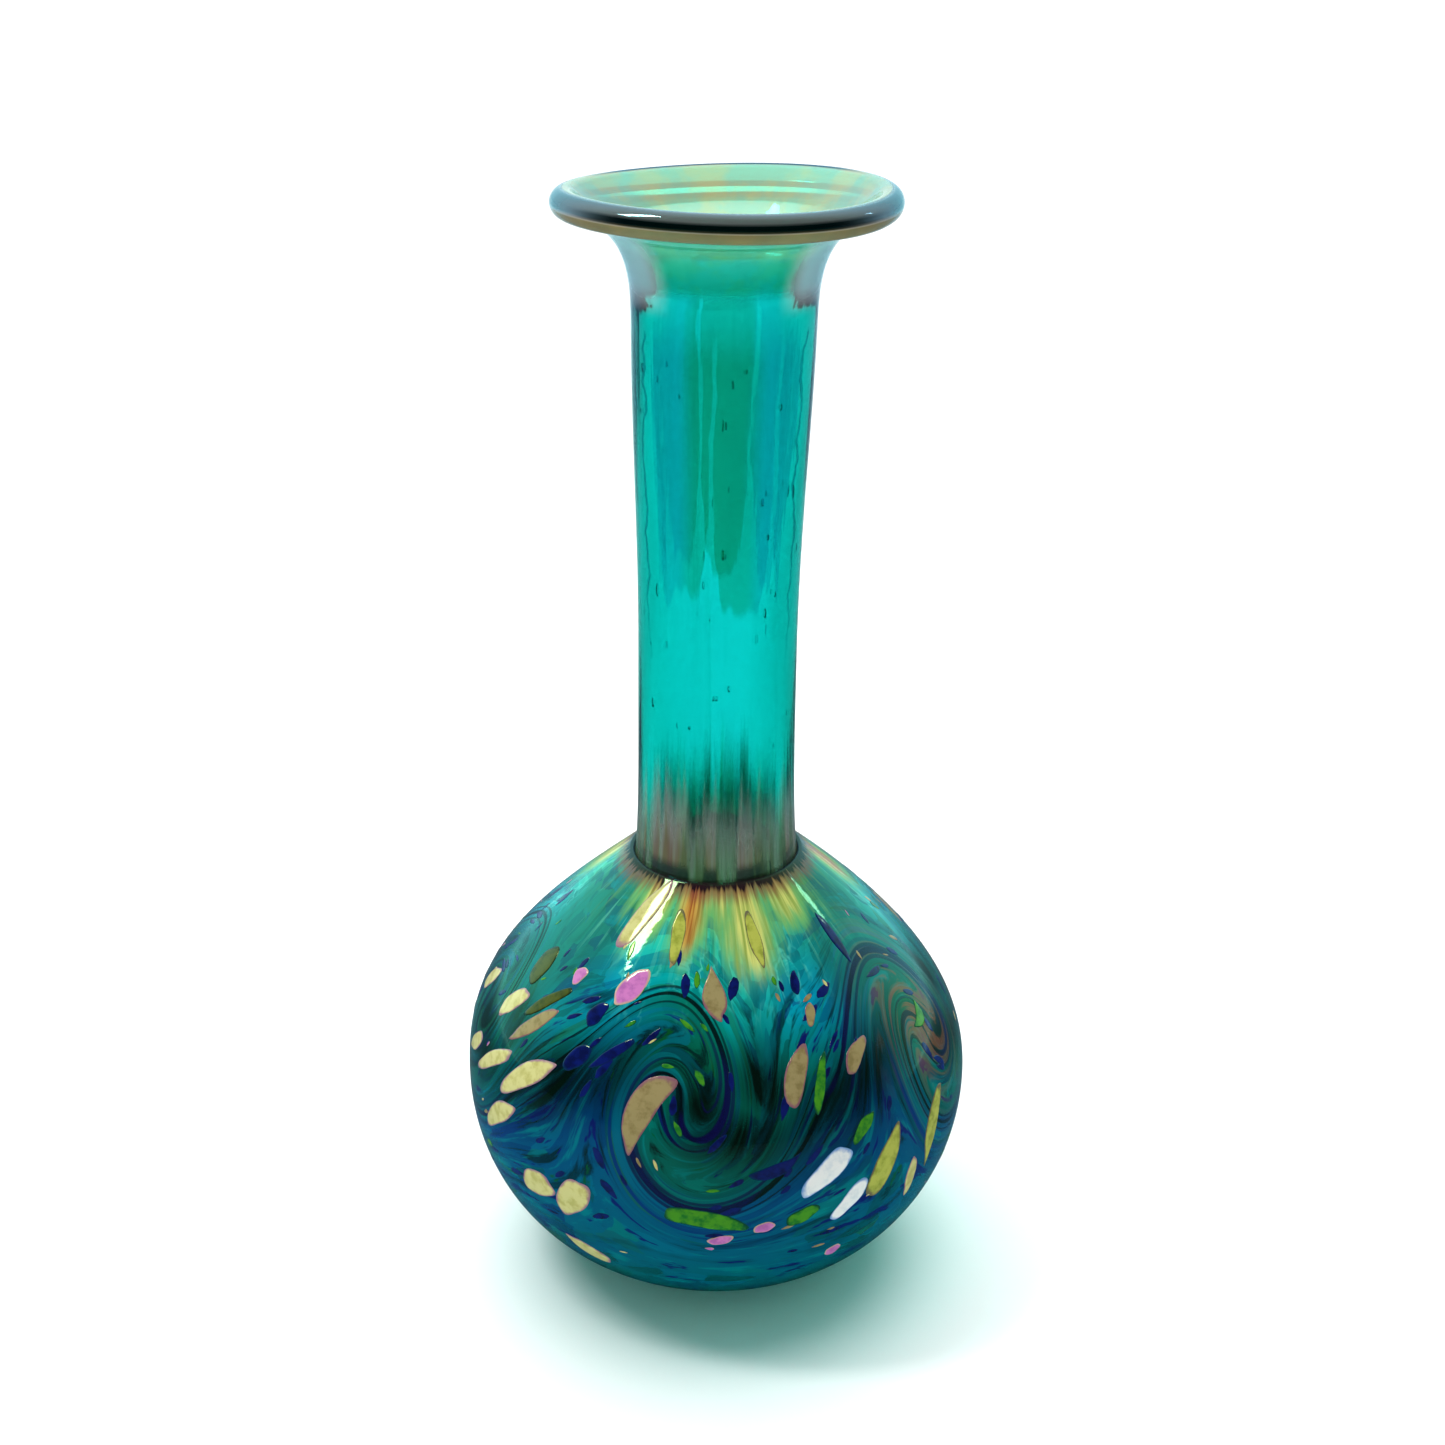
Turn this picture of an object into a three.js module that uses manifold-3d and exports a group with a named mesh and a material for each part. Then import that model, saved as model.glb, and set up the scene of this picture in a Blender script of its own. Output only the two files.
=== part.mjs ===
// Hand-blown bottle vase in teal glass. Millimetres, +Z up, origin at the centre of the flat that
// the vase stands on. The glass is joined hot from separate lots, and each lot is its own solid:
// the foot, the bubble, the colour coat over the bubble, the neck, the rolled lip, and every chip
// of opaque glass that is marvered into the coat. Azimuth 0 is the front (-Y), and grows to +X.

import * as THREE from 'three';
import { mergeVertices } from 'three/addons/utils/BufferGeometryUtils.js';
import Module from 'manifold-3d';

const wasm = await Module();
wasm.setup();

// Driving dimensions.
const HEIGHT = 203;
const FOOT_RADIUS = 12;
const FOOT_THICKNESS = 1.6;
const BULB_RADIUS = 47.3;
const EQUATOR_HEIGHT = 37.8;
const CREASE_RADIUS = 15.5;
const CREASE_HEIGHT = 83.2;
const NECK_BASE_RADIUS = 14.9;
const NECK_WAIST_RADIUS = 14.1;
const NECK_TOP_RADIUS = 15.7;
const NECK_TOP_HEIGHT = 181.7;
const NECK_WALL = 3.3;
const LIP_RADIUS = 29.3;
const LIP_THICKNESS = 4.8;
const BULB_WALL = 4.5;
const BASE_EXTRA = 3.5;
const COAT_THICKNESS = 1.6;
const CHIP_THICKNESS = 0.8;
const JOIN_GAP = 0.3;
const POCKET_RISE = 1;

// Handles of the curves that draw the onion shoulder, the waist of the neck and the flare.
const SHOULDER_FULLNESS = 15.3;
const SHOULDER_PULL = new THREE.Vector2(40, 62.7);
const BASE_THINNING = 4;
const WAIST_START = 0.15;
const WAIST_END = 0.5;
const SWELL_AT = 0.8;
const SWELL_SHORT = 0.5;
const FLARE_RISE = 8.5;
const FLARE_REACH = 9.4;
const ROLL_END = 135;
const DISH_SLOPE = 2.2;
const DISH_DEPTH = 10;

// The hand-made lean: the neck and lip drift towards +X, and the shoulder sways a little to -X.
const LIP_DRIFT = 2.0;
const DRIFT_POWER = 1.6;
const SHOULDER_SWAY = 0.8;

// Fineness of the faceted solids.
const BULB_SIDES = 40;
const NECK_SIDES = 32;
const COAT_STEPS = 14;
const GATHER_STEPS = 11;
const NECK_STEPS = 8;
const FLARE_STEPS = 6;
const ROLL_STEPS = 9;
const CHIP_SIDES = 10;
const HEIGHT_SAMPLES = 400;

// Chips of each colour, each as azimuth (degrees), height, length, width, tilt (degrees from the
// meridian, leaning to +azimuth at the top) and taper (above 0 is wider at the top end).
const CHIPS = {
  cream: {
    colour: 0xd9d29b,
    roughness: 0.12,
    places: [
      [-35, 78, 15.5, 3.8, 12, -0.15],
      [-65, 59.5, 9, 4, 33, 0],
      [-85, 57, 8, 4, 35, 0],
      [-75.5, 48, 9, 3.6, 50, 0],
      [-63, 49.5, 15, 3, 54, 0],
      [-49, 51.5, 16.5, 4.6, 52, 0],
      [-57, 41, 13, 4.2, 52, 0],
      [-43.2, 32, 9, 5.8, 66, 0],
      [-33, 32.5, 11.5, 6, 34, 0],
      [-33, 19, 10, 4.5, -58, -0.2],
      [49, 31, 9.5, 3, 5, 0],
      [118, 52, 13, 4.5, 45, 0],
      [163, 38, 11, 5, 50, 0],
      [-148, 55, 12, 4, 42, 0.2],
      [-112, 36, 10, 5, 48, 0],
    ],
  },
  straw: {
    colour: 0xc3c05c,
    roughness: 0.12,
    places: [
      [40, 38, 14, 5.5, 31, -0.1],
      [57, 39, 16, 4.4, 24, 0],
      [17, 76, 11, 2.4, -4, -0.2],
      [-16, 76, 10, 2.6, -6, 0.2],
      [141, 62, 9, 3.5, 20, 0],
      [-128, 70, 12, 3, -10, -0.3],
    ],
  },
  white: {
    colour: 0xf3f4ef,
    roughness: 0.1,
    places: [
      [24.5, 40.5, 12.5, 4.6, 54, 0],
      [30.4, 33, 9.5, 3.8, 42, 0],
      [-166, 46, 9, 4.2, 55, 0],
    ],
  },
  tan: {
    colour: 0xa98f63,
    roughness: 0.14,
    places: [
      [-16.5, 52.5, 16, 5, 27, 0.35],
      [21, 57.5, 12, 4, 27, 0],
      [38.5, 58, 8.5, 3, 50, -0.2],
      [29.5, 65, 4.5, 2, 15, 0],
      [0, 69.5, 10.5, 3.6, -12, -0.5],
      [-53, 59, 13, 3, 41, 0],
      [104, 66, 9, 3.2, 25, 0],
    ],
  },
  olive: {
    colour: 0x5f6a2c,
    roughness: 0.14,
    places: [
      [-64, 66, 8, 5, -5, 0],
      [-52.5, 63, 12, 2.4, 41, 0],
      [178, 68, 9, 3, -8, 0],
    ],
  },
  green: {
    colour: 0x63a83c,
    roughness: 0.14,
    places: [
      [-2, 33, 15, 4, -77, 0.2],
      [19, 32.5, 6.5, 3.4, 70, 0],
      [34.5, 46.5, 7, 2.6, 48, 0],
      [26.5, 55.5, 11, 2.2, 24, 0],
      [65, 57, 5.5, 3, 50, 0],
      [-95, 45, 8, 3, 40, 0],
      [126, 34, 9, 3.4, 60, 0],
    ],
  },
  pink: {
    colour: 0xcf86c4,
    roughness: 0.12,
    places: [
      [-27, 69, 8, 5, 25, 0],
      [-47, 68, 4, 2.6, 10, 0],
      [10.5, 31, 4, 2.4, 70, 0],
      [1, 28.5, 4.5, 2.4, 76, 0],
      [29, 20.5, 3.5, 3, 50, 0],
      [-138, 30, 5, 3, 60, 0],
      [150, 50, 5, 3, 30, 0],
    ],
  },
  cobalt: {
    colour: 0x16249a,
    roughness: 0.1,
    places: [
      [-34.5, 64.5, 5, 3.4, 25, 0],
      [-35.2, 58, 7, 3.4, 38, 0],
      [-26, 60, 10, 2, 48, 0],
      [13, 43, 10, 2.6, 72, -0.2],
      [28, 69.5, 4.5, 2, 12, 0],
      [52, 73, 12, 2, -3, 0],
      [-158, 64, 6, 2.6, 15, 0],
    ],
  },
};

// Outside of the bulb, from the edge of the foot up to the crease: a quarter of an ellipse, then
// the onion shoulder.
const bulbOutline = new THREE.CurvePath();
bulbOutline.add(new THREE.EllipseCurve(
  FOOT_RADIUS, EQUATOR_HEIGHT, BULB_RADIUS - FOOT_RADIUS, EQUATOR_HEIGHT, -Math.PI / 2, 0));
bulbOutline.add(new THREE.CubicBezierCurve(
  new THREE.Vector2(BULB_RADIUS, EQUATOR_HEIGHT),
  new THREE.Vector2(BULB_RADIUS, EQUATOR_HEIGHT + SHOULDER_FULLNESS),
  SHOULDER_PULL,
  new THREE.Vector2(CREASE_RADIUS, CREASE_HEIGHT)));
const outlineLength = bulbOutline.getLength();

// The point at distance `along` up the bulb's outline, `depth` below its surface, as (radius, height).
function bulbPoint(along, depth) {
  const u = THREE.MathUtils.clamp(along / outlineLength, 0, 1);
  const point = bulbOutline.getPointAt(u);
  const tangent = bulbOutline.getTangentAt(u);
  return new THREE.Vector2(point.x - depth * tangent.y, point.y + depth * tangent.x);
}

// How far up the bulb's outline a height lies.
function alongAtHeight(height) {
  for (let i = 1; i <= HEIGHT_SAMPLES; i += 1) {
    const along = outlineLength * i / HEIGHT_SAMPLES;
    if (bulbPoint(along, 0).y >= height) {
      return along;
    }
  }
  return outlineLength;
}

// A run of points up the bulb, under its surface by a depth that may change on the way.
function bulbRun(steps, start, depthAt) {
  const points = [];
  for (let i = 0; i <= steps; i += 1) {
    const along = start + (outlineLength - start) * i / steps;
    points.push(bulbPoint(along, depthAt(along / outlineLength)));
  }
  return points;
}

// How far the vase's axis lies from the origin's at a height.
function axisShift(height) {
  if (height > CREASE_HEIGHT) {
    return LIP_DRIFT * ((height - CREASE_HEIGHT) / (HEIGHT - CREASE_HEIGHT)) ** DRIFT_POWER;
  }
  const rise = Math.max(0, (height - EQUATOR_HEIGHT) / (CREASE_HEIGHT - EQUATOR_HEIGHT));
  return -SHOULDER_SWAY * Math.sin(Math.PI * rise) ** 2;
}

// Bends a finished shape along the vase's leaning axis.
function leanOver(geometry) {
  const position = geometry.getAttribute('position');
  for (let i = 0; i < position.count; i += 1) {
    position.setX(i, position.getX(i) + axisShift(position.getZ(i)));
  }
  return geometry;
}

// Leaves only positions and joins the vertices that meet.
function weld(geometry) {
  geometry.deleteAttribute('normal');
  geometry.deleteAttribute('uv');
  return mergeVertices(geometry);
}

// Turns an outline of (radius, height) points about the vase's axis.
function turned(points, sides) {
  const geometry = new THREE.LatheGeometry(points, sides);
  geometry.rotateX(Math.PI / 2);
  return leanOver(weld(geometry));
}

function toSolid(geometry) {
  return new wasm.Manifold(new wasm.Mesh({
    numProp: 3,
    vertProperties: new Float32Array(geometry.getAttribute('position').array),
    triVerts: new Uint32Array(geometry.getIndex().array),
  }));
}

function toGeometry(solid) {
  const mesh = solid.getMesh();
  const geometry = new THREE.BufferGeometry();
  geometry.setAttribute('position', new THREE.BufferAttribute(mesh.vertProperties, 3));
  geometry.setIndex(new THREE.BufferAttribute(mesh.triVerts, 1));
  return geometry;
}

// The ground flat that the vase stands on, with a softened upper edge.
function footGeometry() {
  const edge = FOOT_THICKNESS / 4;
  return turned([
    new THREE.Vector2(0, 0),
    new THREE.Vector2(FOOT_RADIUS, 0),
    new THREE.Vector2(FOOT_RADIUS, FOOT_THICKNESS - edge),
    new THREE.Vector2(FOOT_RADIUS - edge, FOOT_THICKNESS),
    new THREE.Vector2(0, FOOT_THICKNESS),
  ], BULB_SIDES);
}

// The blown bubble: an open flask with a thick base, under the colour coat.
function bubbleGeometry() {
  const wallAt = (u) => BULB_WALL + BASE_EXTRA * (1 - u) ** BASE_THINNING;
  const outside = bulbRun(GATHER_STEPS, 0, () => COAT_THICKNESS + JOIN_GAP);
  const inside = bulbRun(GATHER_STEPS, 0, wallAt).reverse();
  const seatOuter = outside[outside.length - 1].x;
  return turned([
    new THREE.Vector2(0, outside[0].y),
    ...outside,
    new THREE.Vector2(seatOuter, CREASE_HEIGHT),
    new THREE.Vector2(NECK_BASE_RADIUS - NECK_WALL, CREASE_HEIGHT),
    ...inside,
    new THREE.Vector2(0, inside[inside.length - 1].y),
  ], BULB_SIDES);
}

// A flat disc of chip outline laid on the bulb: the grown disc is the pocket that holds the chip.
function chipGeometry(place, grow, above, below) {
  const [azimuth, height, length, width, tilt, taper] = place;
  const centre = alongAtHeight(height);
  const lean = THREE.MathUtils.degToRad(tilt);
  const turn = THREE.MathUtils.degToRad(azimuth);
  const geometry = weld(new THREE.CylinderGeometry(1, 1, 1, CHIP_SIDES));
  const position = geometry.getAttribute('position');
  for (let i = 0; i < position.count; i += 1) {
    const up = -position.getZ(i);
    const lengthwise = up * (length / 2 + grow);
    const across = position.getX(i) * (width / 2 + grow) * (1 + taper * up);
    const along = centre + lengthwise * Math.cos(lean) - across * Math.sin(lean);
    const side = lengthwise * Math.sin(lean) + across * Math.cos(lean);
    const angle = turn + side / bulbPoint(along, 0).x;
    const spot = bulbPoint(along, position.getY(i) > 0 ? -above : below);
    position.setXYZ(i, spot.x * Math.sin(angle), -spot.x * Math.cos(angle), spot.y);
  }
  return leanOver(geometry);
}

// The colour coat over the bubble, with a pocket for each chip.
function coatGeometry(places) {
  const outside = bulbRun(COAT_STEPS, JOIN_GAP, () => 0);
  const inside = bulbRun(COAT_STEPS, JOIN_GAP, () => COAT_THICKNESS).reverse();
  const pocketDepth = CHIP_THICKNESS + JOIN_GAP;
  let coat = toSolid(turned([...outside, ...inside, outside[0]], BULB_SIDES));
  for (const place of places) {
    coat = coat.subtract(toSolid(chipGeometry(place, JOIN_GAP, POCKET_RISE, pocketDepth)));
  }
  return toGeometry(coat);
}

// The drawn neck: slightly waisted, open at both ends, seated on the bubble at the crease.
function neckGeometry() {
  const base = CREASE_HEIGHT + JOIN_GAP;
  const rise = NECK_TOP_HEIGHT - base;
  const side = new THREE.SplineCurve([
    new THREE.Vector2(NECK_BASE_RADIUS, base),
    new THREE.Vector2(NECK_WAIST_RADIUS, base + WAIST_START * rise),
    new THREE.Vector2(NECK_WAIST_RADIUS, base + WAIST_END * rise),
    new THREE.Vector2(NECK_TOP_RADIUS - SWELL_SHORT, base + SWELL_AT * rise),
    new THREE.Vector2(NECK_TOP_RADIUS, NECK_TOP_HEIGHT),
  ]);
  const outside = side.getSpacedPoints(NECK_STEPS);
  const inside = outside.map((point) => new THREE.Vector2(point.x - NECK_WALL, point.y)).reverse();
  return turned([...outside, ...inside, outside[0]], NECK_SIDES);
}

// The trumpet flare with its thick rolled edge.
function lipGeometry() {
  const base = NECK_TOP_HEIGHT + JOIN_GAP;
  const rollRadius = LIP_THICKNESS / 2;
  const rollCentre = LIP_RADIUS - rollRadius;
  const boreRadius = NECK_TOP_RADIUS - NECK_WALL;
  const underside = new THREE.CubicBezierCurve(
    new THREE.Vector2(NECK_TOP_RADIUS, base),
    new THREE.Vector2(NECK_TOP_RADIUS, base + FLARE_RISE),
    new THREE.Vector2(rollCentre - FLARE_REACH, HEIGHT - LIP_THICKNESS),
    new THREE.Vector2(rollCentre, HEIGHT - LIP_THICKNESS));
  const rollEnd = THREE.MathUtils.degToRad(ROLL_END);
  const roll = new THREE.EllipseCurve(
    rollCentre, HEIGHT - rollRadius, rollRadius, rollRadius, -Math.PI / 2, rollEnd);
  const brink = roll.getPoint(1);
  const dish = new THREE.CubicBezierCurve(
    brink,
    new THREE.Vector2(brink.x - DISH_SLOPE, brink.y - DISH_SLOPE),
    new THREE.Vector2(boreRadius, base + DISH_DEPTH),
    new THREE.Vector2(boreRadius, base));
  const outline = [
    ...underside.getPoints(FLARE_STEPS),
    ...roll.getPoints(ROLL_STEPS).slice(1),
    ...dish.getPoints(FLARE_STEPS).slice(1),
  ];
  return turned([...outline, outline[0]], BULB_SIDES);
}

const vase = new THREE.Group();

function addPiece(name, geometry, colour, roughness) {
  const material = new THREE.MeshStandardMaterial({ color: colour, roughness, metalness: 0 });
  const mesh = new THREE.Mesh(geometry, material);
  mesh.name = name;
  vase.add(mesh);
}

const chipPlaces = Object.values(CHIPS).flatMap((lot) => lot.places);
addPiece('foot', footGeometry(), 0x0f7f78, 0.3);
addPiece('bubble', bubbleGeometry(), 0x139c94, 0.05);
addPiece('colour_coat', coatGeometry(chipPlaces), 0x0c5f78, 0.06);
addPiece('neck', neckGeometry(), 0x12b3a8, 0.05);
addPiece('lip', lipGeometry(), 0x0b4f4c, 0.05);
for (const [lotName, lot] of Object.entries(CHIPS)) {
  lot.places.forEach((place, index) => {
    const geometry = chipGeometry(place, 0, 0, CHIP_THICKNESS);
    addPiece(`${lotName}_chip_${index + 1}`, geometry, lot.colour, lot.roughness);
  });
}

export default vase;
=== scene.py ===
"""Hand-blown bottle vase: the looks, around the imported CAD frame.

Blender works in metres. The outlines below are worked out in millimetres, as the part is, and
turned into metres when a mesh is made. Azimuth 0 is the front of the vase (-Y) and grows to +X.
"""
import math

import bpy
import numpy as np
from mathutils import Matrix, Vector


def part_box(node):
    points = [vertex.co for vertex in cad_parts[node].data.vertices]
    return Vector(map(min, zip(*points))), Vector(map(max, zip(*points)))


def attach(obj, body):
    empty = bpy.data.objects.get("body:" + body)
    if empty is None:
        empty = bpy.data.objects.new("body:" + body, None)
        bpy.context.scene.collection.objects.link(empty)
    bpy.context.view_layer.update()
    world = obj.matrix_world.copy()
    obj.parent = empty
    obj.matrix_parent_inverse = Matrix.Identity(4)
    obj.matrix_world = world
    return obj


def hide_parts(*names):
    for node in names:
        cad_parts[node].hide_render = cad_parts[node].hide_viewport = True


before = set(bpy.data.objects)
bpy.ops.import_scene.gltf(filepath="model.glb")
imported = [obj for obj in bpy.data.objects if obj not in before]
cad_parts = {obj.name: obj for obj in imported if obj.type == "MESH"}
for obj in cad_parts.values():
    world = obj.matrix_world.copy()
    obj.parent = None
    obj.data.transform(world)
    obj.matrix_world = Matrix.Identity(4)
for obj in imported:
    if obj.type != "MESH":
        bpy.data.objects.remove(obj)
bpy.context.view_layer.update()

METRE = 1000.0


def box_mm(node):
    """The lowest and highest corners of a CAD node, in millimetres."""
    low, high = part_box(node)
    return np.array(low) * METRE, np.array(high) * METRE


# Sizes read from the frame, in millimetres.
foot_low, foot_high = box_mm("foot")
coat_low, coat_high = box_mm("colour_coat")
neck_low, neck_high = box_mm("neck")
lip_low, lip_high = box_mm("lip")
HEIGHT = lip_high[2]
FOOT_RADIUS = (foot_high[1] - foot_low[1]) / 2
FOOT_THICKNESS = foot_high[2]
BULB_RADIUS = (coat_high[1] - coat_low[1]) / 2
CREASE_HEIGHT = coat_high[2]
NECK_TOP_RADIUS = (neck_high[1] - neck_low[1]) / 2
NECK_TOP_HEIGHT = neck_high[2]
LIP_RADIUS = (lip_high[1] - lip_low[1]) / 2

# Sizes of the design that no box gives, in millimetres.
EQUATOR_HEIGHT = 37.8
CREASE_RADIUS = 15.5
NECK_WAIST_RADIUS = 14.1
NECK_WALL = 3.3
LIP_THICKNESS = 4.8
BULB_WALL = 4.5
BASE_EXTRA = 3.5
COAT_THICKNESS = 1.6
COAT_CLEARANCE = 0.05
COAT_FOOT_GAP = 0.3
CHIP_DEPTH = 0.7
CHIP_LIFT = 0.10
CHIP_UNEVENNESS = 0.08
FLECK_DEPTH = 0.4
FLECK_LIFT = 0.05
FLECK_UNEVENNESS = 0.10
FOOT_ARRIS = 0.3

# How fast the thick base thins up the wall, as a power.
BASE_THINNING = 4

# What draws the onion shoulder, the waist of the neck and the flare, in millimetres. The fall of
# the swell and the start and end of the waist are shares of the neck's length.
SHOULDER_FULLNESS = 15.3
SHOULDER_PULL = (40, 62.7)
NECK_BASE_SWELL = 0.8
SWELL_FALL = 0.08
WAIST_START = 0.42
WAIST_END = 1.05
NECK_OVERLAP = 0.4
FLARE_RISE = 8.5
FLARE_REACH = 9.4
ROLL_END = math.radians(135)
DISH_SLOPE = 2.2
DISH_DEPTH = 10

# The hand-made lean and tilt, in millimetres, and the power that the drift grows with.
LIP_DRIFT = 2.0
DRIFT_POWER = 1.6
SHOULDER_SWAY = 0.8
LIP_TILT = 0.65

# Fineness of the meshes, and how far under the crease the bubble gives way to the neck.
BODY_SIDES = 160
COAT_SIDES = 420
FOOT_SIDES = 96
CHIP_SIDES = 40
FLECK_SIDES = 12
OUTLINE_STEPS = 500
COAT_OUTSIDE_STEPS = 190
COAT_INSIDE_STEPS = 26
NECK_STEPS = 90
BULB_STEPS = 90
INSIDE_STEPS = 70
JOIN_OUTSIDE = 1.6
JOIN_INSIDE = 2.5

# Seeds blown in the neck: number, half thickness in millimetres, and length over thickness.
SEED_COUNT = 44
SEED_SIZES = (0.14, 0.34)
SEED_DRAWS = (1.5, 4.5)

# The fumed lining of the neck hangs in so many panels. A painted dark line, shade where the bore's
# edge shows through the wall from the front, runs down each side of the neck at the azimuth below.
LINING_PANELS = 7
WALL_EDGE_ANGLE = math.radians(57)

# Bands round the roll of the lip, in degrees up from its outermost line: start, full, fade and end.
# The sky reflection band is painted reflection, the gilt band is lustre with a painted reflection
# of the table in it, and the two shade bands are painted shade.
SKY_REFLECTION_BAND = (-12, 0, 70, 84)
GILT_REFLECTION_BAND = (-95, -85, -12, -2)
FRONT_SHADE_BAND = (-14, -5, 22, 32)
BACK_SHADE_BAND = (50, 62, 106, 118)

# The twirls of the colour coat: their number, the first one's azimuth, their place up the
# outline and their reach in millimetres, how far they turn the glass in radians, and the factor
# that makes them taller and narrower.
TWIRLS = 5
TWIRL_AZIMUTH = math.radians(-7.5)
TWIRL_ALONG = 74.5
TWIRL_REACH = 15.6
TWIRL_TURN = 4.75
TWIRL_SLIMNESS = 1.13
TWIRL_SPACING = math.tau / TWIRLS

# Dark troughs that curl behind each twirl: depth, degrees round from the twirl, place up the
# outline, half width, half height, and lean.
TROUGHS = (
    (1.0, 13, 69, 12, 6.5, 0.10), (1.0, 5, 74, 6.5, 6.5, 0.0),
    (1.0, 20, 79, 6.5, 10, 0.0), (0.95, 41, 74, 19, 7, 0.35))

# Patches of colour by each twirl: degrees round from it, place up the outline, half width, half
# height, and lean where there is one.
TWIRL_PATCHES = {
    "cyan": (42, 91, 14, 9),
    "blue": (-32, 69, 16, 9, 0.5),
    "grass": (0, 81, 9, 6),
}

# Patches of fume under the crease: azimuth in degrees, place up the outline, half width, half
# height. The glass is orange rather than lemon round the azimuths below them.
GOLD_PATCHES = (
    (-13, 109, 8, 11), (16, 107, 10, 13), (40, 111, 9, 8), (-32, 111, 9, 9),
    (98, 110, 8, 10), (146, 108, 10, 12), (-158, 109, 8, 11), (-108, 110, 10, 10))
ORANGE_AZIMUTHS = (-13, 98, -158)

# Glass: lustre films as (thickness in nanometres, index), and the tint of their reflection.
CLEAR_FILM = (420, 1.6)
CLEAR_SHEEN = (0.15, 0.8, 0.95, 1.0)
COAT_FILM = (290, 1.62)
COAT_SHEEN = (0.3, 0.75, 0.85, 1.0)
CHIP_SHEEN = (0.5, 0.8, 1.0, 1.0)
GLASS_INDEX = 1.5
COAT_INDEX = 1.52
COAT_CLEARNESS = [(0.0, 0.5), (0.3, 0.25), (0.62, 0.2)]
DEPTH_COLOUR = (0.0, 0.880, 0.866, 1.0)
DEPTH_DENSITY = 900.0

# Chip glass as screen colours, 0 to 255: the heart, the patches in it, and the stained rim.
CHIP_GLASS = {
    "cream": ((210, 208, 144), (188, 184, 114), (160, 124, 140)),
    "straw": ((184, 190, 92), (150, 160, 70), (112, 104, 84)),
    "white": ((240, 243, 242), (222, 230, 234), (120, 160, 210)),
    "tan": ((158, 146, 104), (136, 124, 84), (140, 98, 112)),
    "olive": ((76, 84, 30), (54, 66, 28), (22, 44, 30)),
    "green": ((78, 150, 44), (36, 116, 48), (8, 78, 58)),
    "pink": ((204, 130, 190), (176, 108, 172), (200, 176, 150)),
    "cobalt": ((14, 32, 104), (8, 20, 72), (4, 44, 84)),
}

# Chips with a shape of their own: how far the ends bend to +azimuth, in widths, how pointed they
# are, and how much wider the upper end is.
CHIP_SHAPES = {
    "tan_chip_1": (0.32, -0.1, 0.45),
    "tan_chip_5": (0.15, 0.9, -0.4),
    "green_chip_1": (-0.2, -0.3, 0.0),
    "green_chip_5": (-0.5, 0.3, 0.0),
    "straw_chip_2": (0.45, 0.5, 0.0),
    "cream_chip_1": (0.05, -0.1, -0.2),
    "white_chip_1": (0.0, -0.35, 0.1),
    "white_chip_2": (0.0, -0.3, 0.1),
    "cobalt_chip_4": (-0.4, 0.6, 0.0),
}

# Fine frit between the chips: colour, how many, the longest in millimetres, and the seed.
FLECKS = (
    ("cobalt", 150, 5.0, 11), ("green", 60, 4.0, 12), ("cream", 26, 2.6, 13),
    ("pink", 16, 2.2, 14), ("tan", 22, 3.0, 15))

# Stage, in metres, watts and degrees. Windows: name, place, size, watts.
TABLE_SIZE = 12.0
ROOM_SEEN = 1.0
ROOM_LIGHT = 0.28
REFLECTED_ROOM = (0.92, 0.98, 1.0, 1.0)
REFLECTED_LEVELS = (0.06, 1.0)
REFLECTED_FADE = (-0.25, 0.65)
SKY_PLACE = (0.0, 0.45, 1.2)
SKY_STRENGTH = 2.65
SKY_SPREAD = 70
GLOW_COLOUR = (0.0, 0.62, 0.50)
GLOW_WATTS = 0.36
GLOW_SIZE = 0.02
GLOW_PLACE = (0.0, -0.004, 0.0189)
WINDOW_AIM = (0, 0, 0.07)
WINDOWS = (
    ("left_window", (-0.39, -0.05, 0.69), (0.10, 0.26), 1.8),
    ("right_window", (0.62, 0.25, 0.52), (0.04, 0.07), 0.06))
EYE_PLACE = (0.0012, -0.364, 0.2657)
LOOK_DOWN = 23.47
SENSOR_WIDTH = 36.0
LENS = 54.8


# ---------------------------------------------------------------- outlines

def bezier(points, count):
    """Points along a cubic Bezier curve."""
    a, b, c, d = (np.array(p, dtype=float) for p in points)
    t = np.linspace(0, 1, count)[:, None]
    return (1 - t) ** 3 * a + 3 * (1 - t) ** 2 * t * b + 3 * (1 - t) * t ** 2 * c + t ** 3 * d


def bulb_outline():
    """(radius, height) from the edge of the foot to the crease."""
    t = np.linspace(0, math.pi / 2, OUTLINE_STEPS)
    reach = BULB_RADIUS - FOOT_RADIUS
    low = np.stack([FOOT_RADIUS + reach * np.sin(t), EQUATOR_HEIGHT * (1 - np.cos(t))], axis=1)
    shoulder = bezier([
        (BULB_RADIUS, EQUATOR_HEIGHT),
        (BULB_RADIUS, EQUATOR_HEIGHT + SHOULDER_FULLNESS),
        SHOULDER_PULL,
        (CREASE_RADIUS, CREASE_HEIGHT)], OUTLINE_STEPS)
    return np.concatenate([low, shoulder[1:]])


OUTLINE = bulb_outline()
STEPS = np.hypot(*np.diff(OUTLINE, axis=0).T)
ALONG = np.concatenate([[0], np.cumsum(STEPS)])
OUTLINE_LENGTH = ALONG[-1]
TANGENT = np.gradient(OUTLINE, ALONG, axis=0)
TANGENT /= np.linalg.norm(TANGENT, axis=1)[:, None]


def bulb_point(along, depth):
    """(radius, height) at a distance up the bulb's outline, some way under its surface."""
    radius = np.interp(along, ALONG, OUTLINE[:, 0])
    height = np.interp(along, ALONG, OUTLINE[:, 1])
    out = np.interp(along, ALONG, TANGENT[:, 0])
    up = np.interp(along, ALONG, TANGENT[:, 1])
    return radius - depth * up, height + depth * out


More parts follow.
